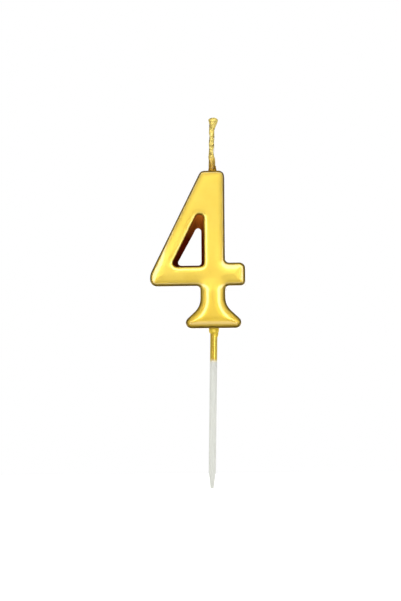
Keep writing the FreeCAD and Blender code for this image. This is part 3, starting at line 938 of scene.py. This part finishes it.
    def shape_face(self, shell: bpy.types.Object) -> None:
        """Swell the front face between its rims, as cast wax is, and dish it round the counter.

        Args:
            shell: The numeral.
        """
        swell, dish = (shell.vertex_groups.new(name=name) for name in ("swell", "dish"))
        for vertex, (outer, inner) in zip(shell.data.vertices, self.distances(shell)):
            if vertex.normal.y < -FACE_ON and vertex.co.y < (self.front + self.lip) * MM:
                height = graded(self.swell, vertex.co.z / MM)[0]
                rise = math.sin(min(outer / self.swell_reach, 1.0) * math.pi / 2)
                swell.add([vertex.index], rise * height, "REPLACE")
                dip = 1 - min(inner / self.dish_reach, 1.0)
                dish.add([vertex.index], dip * dip, "REPLACE")
            elif self.in_counter(vertex.co):
                depth = (vertex.co.y / MM - self.front) / self.depth
                dish.add([vertex.index], min(max(1 - 2 * depth, 0.0), 1.0), "REPLACE")
        # Applying a modifier remakes the groups, so from here on they go by name
        for name, height in (("swell", -1.0), ("dish", self.dish)):
            apply_modifier(shell, "DISPLACE", direction="Y", strength=height * MM, mid_level=0.0,
                           vertex_group=name)
        shell.vertex_groups.clear()
        even_out(shell, 3)

    def mark_spray(self, shell: bpy.types.Object) -> None:
        """Mark the painted shade along the rims, and on the counter's walls.

        Args:
            shell: The numeral.
        """
        mesh = shell.data
        # Adding an attribute can move the one before it, so both are looked up by name afterwards
        for name in ("rim", "bore"):
            mesh.attributes.new(name, "FLOAT", "POINT")
        rim, bore = (mesh.attributes[name].data for name in ("rim", "bore"))
        for vertex, (outer, _) in zip(mesh.vertices, self.distances(shell)):
            # Painted shade: the face darkens towards the outer walls, as strong as the table's third column
            # says
            near = 1 - min(outer / self.rim_shade_reach, 1.0)
            rim[vertex.index].value = near * near * graded(self.swell, vertex.co.z / MM)[1]
            # Painted shade on the counter's walls, where they turn away from the front or lie behind its
            # face
            if self.in_counter(vertex.co):
                turned = (vertex.normal.y - self.counter_shade_start) / self.thinning
                sunk = (vertex.co.y / MM - self.front - self.lip) / self.thinning
                bore[vertex.index].value = min(max(turned, sunk, 0.0), 1.0)


@dataclass
class Wick(Piece):
    """The gilded wick: a rope of three strands that swells at its root and flares at its cut end."""

    name: str = "wick_rope"
    slot: Slot = Slot.GOLD
    stands_for: tuple[str, ...] = ("wick_gold_coat", "wick_wax_sheath")
    lead: float = 12.0  # the height of one turn of a strand
    lobe: float = 0.08  # how far a strand stands out, as a share of the radius
    vertices: int = 30
    step: float = 0.3
    bump: float = 0.8
    bump_height: float = 0.12
    voxel: float = 0.09
    # Height, radius and shift to the right of each level, in millimetres
    levels: tuple[tuple[float, float, float], ...] = (
        (50.1, 1.08, -0.1), (54.4, 1.02, -0.15), (55.4, 0.92, -0.18), (56.4, 0.82, -0.2),
        (63.2, 0.82, -0.2), (64.2, 0.88, -0.05), (65.3, 1.05, 0.15), (66.2, 1.28, 0.35), (67.0, 1.5, 0.5),
        (67.5, 1.42, 0.5), (67.85, 1.05, 0.45), (67.95, 0.55, 0.42),
    )

    def make(self) -> bpy.types.Object:
        """Lift a lobed ring through the levels, turning it as the strands turn."""
        heights = [level[0] for level in self.levels]
        bpy.ops.mesh.primitive_circle_add(vertices=self.vertices, radius=self.levels[0][1] * MM,
                                          location=(0, 0, heights[0] * MM))
        rope = bpy.context.object
        pick_only(rope)
        bpy.ops.object.transform_apply(location=True, rotation=True, scale=True)
        self.shape_lobes(rope, heights[0] * MM)
        count = round((heights[-1] - heights[0]) / self.step)
        height, (radius, shift) = heights[0], self.levels[0][1:]
        with editing(rope):
            bpy.ops.mesh.select_all(action="SELECT")
            bpy.ops.mesh.edge_face_add()
            for number in range(1, count + 1):
                level = heights[0] + (heights[-1] - heights[0]) * number / count
                growth, lean = graded(self.levels, level)
                centre = Vector((lean, 0, level)) * MM
                bpy.ops.mesh.extrude_region_move(TRANSFORM_OT_translate={
                    "value": Vector((lean - shift, 0, level - height)) * MM})
                bpy.ops.transform.rotate(value=math.tau * (level - height) / self.lead,
                                         orient_axis="Z", center_override=centre)
                bpy.ops.transform.resize(value=(growth / radius, growth / radius, 1),
                                         center_override=centre)
                height, radius, shift = level, growth, lean
        remesh(rope, self.voxel)
        roughen(rope, self.bump, self.bump_height)
        even_out(rope, 2)
        return settle(rope, self.name)

    def shape_lobes(self, ring: bpy.types.Object, height: float) -> None:
        """Push the ring's vertices in and out into one lobe for each of the three strands.

        Args:
            ring: The ring that the rope starts from.
            height: Its height, in metres.
        """
        def swell(place: Vector) -> float:
            """How far out a place is, from -1 in a groove to 1 on a strand."""
            return round(math.cos(3 * math.atan2(place.y, place.x)), 3)
        for wave in sorted({swell(vertex.co) for vertex in ring.data.vertices}):
            choose(ring, lambda place: swell(place) == wave)
            growth = 1 + self.lobe * wave
            with editing(ring):
                bpy.ops.transform.resize(value=(growth, growth, 1), center_override=(0, 0, height))


@dataclass
class WickCollar(Piece):
    """The wax that climbs the wick's root, gilded with the rest."""

    name: str = "wick_collar"
    slot: Slot = Slot.GOLD
    stands_for: tuple[str, ...] = ("wick_root_bead",)
    profile: tuple[tuple[float, float], ...] = (
        (0, 50.05), (1.75, 50.05), (1.75, 50.61), (1.5, 50.71), (1.34, 50.95), (1.24, 51.45),
        (1.14, 52.35), (0, 52.35),
    )
    bump: float = 0.7
    bump_height: float = 0.1
    voxel: float = 0.09

    def make(self) -> bpy.types.Object:
        """Turn the hollow-sided collar."""
        collar = turn_profile(self.profile)
        remesh(collar, self.voxel)
        roughen(collar, self.bump, self.bump_height)
        even_out(collar, 3)
        return settle(collar, self.name)


@dataclass
class PickCollar(Piece):
    """The wax drip under the foot, which has run further down the pick's right side."""

    name: str = "pick_collar"
    slot: Slot = Slot.GOLD
    stands_for: tuple[str, ...] = ("pick_root_bead", "pick_gold_coat")
    profile: tuple[tuple[float, float], ...] = (
        (0, 0.5), (1.68, 0.5), (1.66, -0.1), (1.56, -0.5), (1.48, -0.85), (1.32, -1.1), (1.18, -1.2),
        (0, -1.2),
    )
    run: tuple[float, float, float] = (0.34, -0.1, -1.3)
    run_radius: float = 1.08
    run_stretch: float = 1.55
    lean: float = 1.2
    voxel: float = 0.08

    def make(self) -> bpy.types.Object:
        """Turn the ring of wax, add the run to it and blend the two."""
        collar = turn_profile(self.profile)
        bpy.ops.mesh.primitive_uv_sphere_add(segments=32, ring_count=16, radius=self.run_radius * MM,
                                             location=Vector(self.run) * MM)
        drip = bpy.context.object
        drip.scale.z = self.run_stretch
        pick_only(collar, drip)
        bpy.ops.object.join()
        collar.rotation_euler.y = math.radians(self.lean)
        pick_only(collar)
        bpy.ops.object.transform_apply(location=True, rotation=True, scale=True)
        remesh(collar, self.voxel)
        even_out(collar, 5)
        return settle(collar, self.name)


@dataclass
class Pick(Piece):
    """The moulded pick: a round shank that leans a little and ends in a blunt, faceted point."""

    name: str = "pick_shaft"
    slot: Slot = Slot.PLASTIC
    stands_for: tuple[str, ...] = ("pick",)
    radius: float = 1.125
    top: float = 11.5
    facets_top: float = -44.9
    facets: int = 8
    lean: float = 1.2
    # Height of each level below the top, and its width as a share of the shank's
    levels: tuple[tuple[float, float], ...] = (
        (0.0, 1.0), (-44.5, 1.0), (-44.95, 0.975), (-49.65, 0.5), (-49.8, 0.4),
    )

    def make(self) -> bpy.types.Object:
        """Draw the shank down from a ring, taper it to its point and cut the facets."""
        around = 3 * self.facets  # a corner and the two places that part it from the next
        bpy.ops.mesh.primitive_circle_add(vertices=around, radius=self.radius * MM,
                                          location=(0, 0, self.top * MM))
        shaft = bpy.context.object
        pick_only(shaft)
        bpy.ops.object.transform_apply(location=True, rotation=True, scale=True)
        height, width = self.top, 1.0
        with editing(shaft):
            bpy.ops.mesh.select_all(action="SELECT")
            bpy.ops.mesh.edge_face_add()
            for level, share in self.levels:
                bpy.ops.mesh.extrude_region_move(
                    TRANSFORM_OT_translate={"value": (0, 0, (level - height) * MM)})
                growth = share / width
                bpy.ops.transform.resize(value=(growth, growth, 1),
                                         center_override=(0, 0, level * MM))
                height, width = level, share
        flat = math.pi / self.facets
        def off_corner(place: Vector) -> bool:
            """Whether a place is on the point and between two of its corners."""
            turn = math.atan2(place.y, place.x) % (2 * flat)
            return place.z < self.facets_top * MM and 0.1 * flat < turn < 1.9 * flat
        choose(shaft, off_corner)
        growth = math.cos(flat) / math.cos(flat / 3)
        with editing(shaft):
            bpy.ops.transform.resize(value=(growth, growth, 1), center_override=(0, 0, 0))
        shaft.rotation_euler.y = math.radians(self.lean)
        return settle(shaft, self.name, smooth_angle=24.0)


# ---------------------------------------------------------------- the studio


@dataclass
class Studio:
    """A white paper sweep, a dark tent with a ring of light in front of the candle, and the camera.

    The aim, the view's height and the gap are in millimetres, the other lengths in metres and the
    angles in degrees. The lens is in millimetres, as on a camera.
    """

    aim: tuple[float, float, float] = (-4.16, 0.0, 9.37)
    azimuth: float = 2.0
    elevation: float = -5.5
    roll: float = -0.5
    lens: float = 100.0
    view_height: float = 190.2
    floor_gap: float = 0.05
    floor_size: float = 1.2
    lamp_size: float = 1.6
    lamp_height: float = 1.3
    lamp_power: float = 26.0  # W
    tent_strength: float = 3.0
    tent_fade: tuple[float, float] = (-0.45, 0.08)  # heights between which the tent brightens
    tent_low: float = 0.45  # its brightness below them
    table_light: float = 0.36
    table_edges: tuple[tuple[float, float], ...] = ((0.0, -0.15), (-0.65, -0.5))
    table_side: tuple[float, float] = (0.15, -0.1)  # it lights the sides and the back only
    dome: float = 0.76  # the even light that matt surfaces see
    # Brightness of the tent by the angle from straight in front of the candle. The two ends of the
    # ramp, behind and in front, come first, because a new ramp has two stops already
    tent: tuple[tuple[float, float], ...] = (
        (180, 0.5), (0, 0.1), (171, 0.5), (162, 0.02), (100, 0.01), (86, 0.03), (70, 0.06),
        (54, 0.08), (40, 0.1), (36, 0.3), (34, 2.1), (27, 2.1), (25, 0.3), (20, 0.1),
    )

    def add_camera(self) -> None:
        """Place the camera a little below the numeral's middle, looking slightly up."""
        data = bpy.data.cameras.new("camera")
        data.lens = self.lens
        camera = bpy.data.objects.new("camera", data)
        bpy.context.scene.collection.objects.link(camera)
        turn, rise = math.radians(self.azimuth), math.radians(self.elevation)
        back = Vector((math.sin(turn) * math.cos(rise), -math.cos(turn) * math.cos(rise), math.sin(rise)))
        distance = self.view_height * MM * self.lens / data.sensor_width
        camera.location = Vector(self.aim) * MM + back * distance
        camera.rotation_mode = "QUATERNION"
        camera.rotation_quaternion = (
            (-back).to_track_quat("-Z", "Y") @ Quaternion((0, 0, 1), math.radians(self.roll)))
        data.clip_start = 0.01
        bpy.context.scene.camera = camera

    def add_floor(self, low: float) -> None:
        """Lay the paper sweep under the candle.

        Args:
            low: The candle's lowest height, in metres.
        """
        bpy.ops.mesh.primitive_plane_add(size=1.0, location=(0, 0, low - self.floor_gap * MM))
        floor = bpy.context.object
        floor.name = "studio_floor"
        with editing(floor):
            bpy.ops.mesh.select_all(action="SELECT")
            bpy.ops.transform.resize(value=(self.floor_size, self.floor_size, 1),
                                     center_override=(0, 0, 0))
        floor.data.materials.append(StudioPaper().material())
        floor.visible_glossy = False

    def add_light(self) -> None:
        """Light the sweep from above and set up the tent as the world."""
        lamp = bpy.data.lights.new("overhead_softbox", "AREA")
        lamp.shape = "DISK"
        lamp.size = self.lamp_size
        lamp.energy = self.lamp_power
        overhead = bpy.data.objects.new("overhead_softbox", lamp)
        overhead.location = (0, 0, self.lamp_height)
        overhead.visible_glossy = False
        bpy.context.scene.collection.objects.link(overhead)
        self.add_tent()

    def add_tent(self) -> None:
        """Paint the tent: dim in front with a bright ring, dark at the sides, light behind and low down."""
        world = bpy.data.worlds.new("tent")
        bpy.context.scene.world = world
        world.use_nodes = True
        tree = world.node_tree
        tree.nodes.clear()
        toward = add_node(tree, "TexCoord").outputs["Generated"]
        facing = add_node(tree, "VectorMath", {"operation": "DOT_PRODUCT"},
                          {0: toward, 1: (0.0, -1.0, 0.0)})
        front = add_node(tree, "MapRange", inputs={
            "Value": facing.outputs["Value"], "From Min": -1.0, "From Max": 1.0})
        ramp = add_node(tree, "ValToRGB", inputs={"Fac": front.outputs["Result"]})
        stops = ramp.color_ramp.elements
        for number, (angle, level) in enumerate(self.tent):
            place = (math.cos(math.radians(angle)) + 1) / 2
            stop = stops[number] if number < 2 else stops.new(place)
            stop.position, stop.color = place, (level, level, level, 1)
        height = add_node(tree, "SeparateXYZ", inputs={"Vector": toward}).outputs["Z"]
        bottom, top = self.tent_fade
        rise = add_node(tree, "MapRange", {"interpolation_type": "SMOOTHSTEP"}, {
            "Value": height, "From Min": bottom, "From Max": top, "To Min": self.tent_low, "To Max": 1.0})
        level = add_node(tree, "Math", {"operation": "MULTIPLY"},
                         {0: ramp.outputs["Color"], 1: rise.outputs["Result"]})
        band = None
        edges = [(height, *edge) for edge in self.table_edges]
        edges.append((facing.outputs["Value"], *self.table_side))
        for value, start, end in edges:
            edge = add_node(tree, "MapRange", {"interpolation_type": "SMOOTHSTEP"}, {
                "Value": value, "From Min": start, "From Max": end}).outputs["Result"]
            band = edge if band is None else add_node(
                tree, "Math", {"operation": "MULTIPLY"}, {0: band, 1: edge}).outputs[0]
        back = add_node(tree, "Math", {"operation": "MULTIPLY_ADD"},
                        {0: band, 1: self.table_light, 2: level.outputs[0]})
        strength = add_node(tree, "Math", {"operation": "MULTIPLY"},
                            {0: back.outputs[0], 1: self.tent_strength})
        path = add_node(tree, "LightPath")
        layers = {"tent": strength.outputs[0], "dome": self.dome, "sweep": 1.0}
        white = {name: add_node(tree, "Background", inputs={
            "Color": (1.0, 1.0, 1.0, 1.0), "Strength": value}).outputs["Background"]
            for name, value in layers.items()}
        soft = add_node(tree, "MixShader", inputs={
            0: path.outputs["Is Glossy Ray"], 1: white["dome"], 2: white["tent"]})
        both = add_node(tree, "MixShader", inputs={
            0: path.outputs["Is Camera Ray"], 1: soft.outputs["Shader"], 2: white["sweep"]})
        add_node(tree, "OutputWorld", inputs={"Surface": both.outputs["Shader"]})


def dress_cad(gold: bpy.types.Material, plastic: bpy.types.Material) -> None:
    """Give every CAD node its finish, those inside the candle included.

    Args:
        gold: The gold lacquer's material.
        plastic: The pick's material.
    """
    wax, cotton = CastWax().material(), TwistedCotton().material()
    finishes = {Slot.WAX.value: wax, Slot.COTTON.value: cotton, Slot.GOLD.value: gold,
                Slot.PLASTIC.value: plastic}
    for part in frame["record"]["subparts"]:
        node = frame["nodes"][part["node"]]
        for place in node.material_slots:
            place.material = finishes[part["material_slot"]]


def main() -> None:
    """Build the candle, then its studio, and report each piece."""
    logging.basicConfig(level=logging.INFO, format="%(name)s: %(message)s")
    bpy.ops.object.select_all(action="DESELECT")
    gold = GoldLacquer().material()
    # On cotton the lacquer is duller and patchy, and the fibres show through it; its low band is painted
    # shade, darker towards the wick's root
    rope_gold = GoldLacquer(name="gold_lacquer_on_rope", bright="FBEA88", deep="E6C65C", low="D6B350",
                            low_shade_band=(56.5, 51.0), roughness=(0.5, 0.6), metal=0.65, film=0.3,
                            patches=0.8, peel=0.5, peel_depth=0.02, twist=12.0).material()
    # On the drips it lies thicker and less even
    drip_gold = GoldLacquer(name="gold_lacquer_on_drips", bright="FBE25C", deep="E9C93C",
                            roughness=(0.4, 0.5), metal=0.6, film=0.4, peel=0.6).material()
    plastic = MistedPolystyrene().material()
    Numeral().add(gold)
    Wick().add(rope_gold)
    WickCollar().add(rope_gold)
    PickCollar().add(drip_gold)
    Pick().add(plastic)
    dress_cad(gold, plastic)

    studio = Studio()
    studio.add_camera()
    studio.add_floor(CAD_BOX[0].z)
    studio.add_light()
    scene = bpy.context.scene
    scene.view_settings.view_transform = "Standard"


if __name__ == "__main__":
    main()
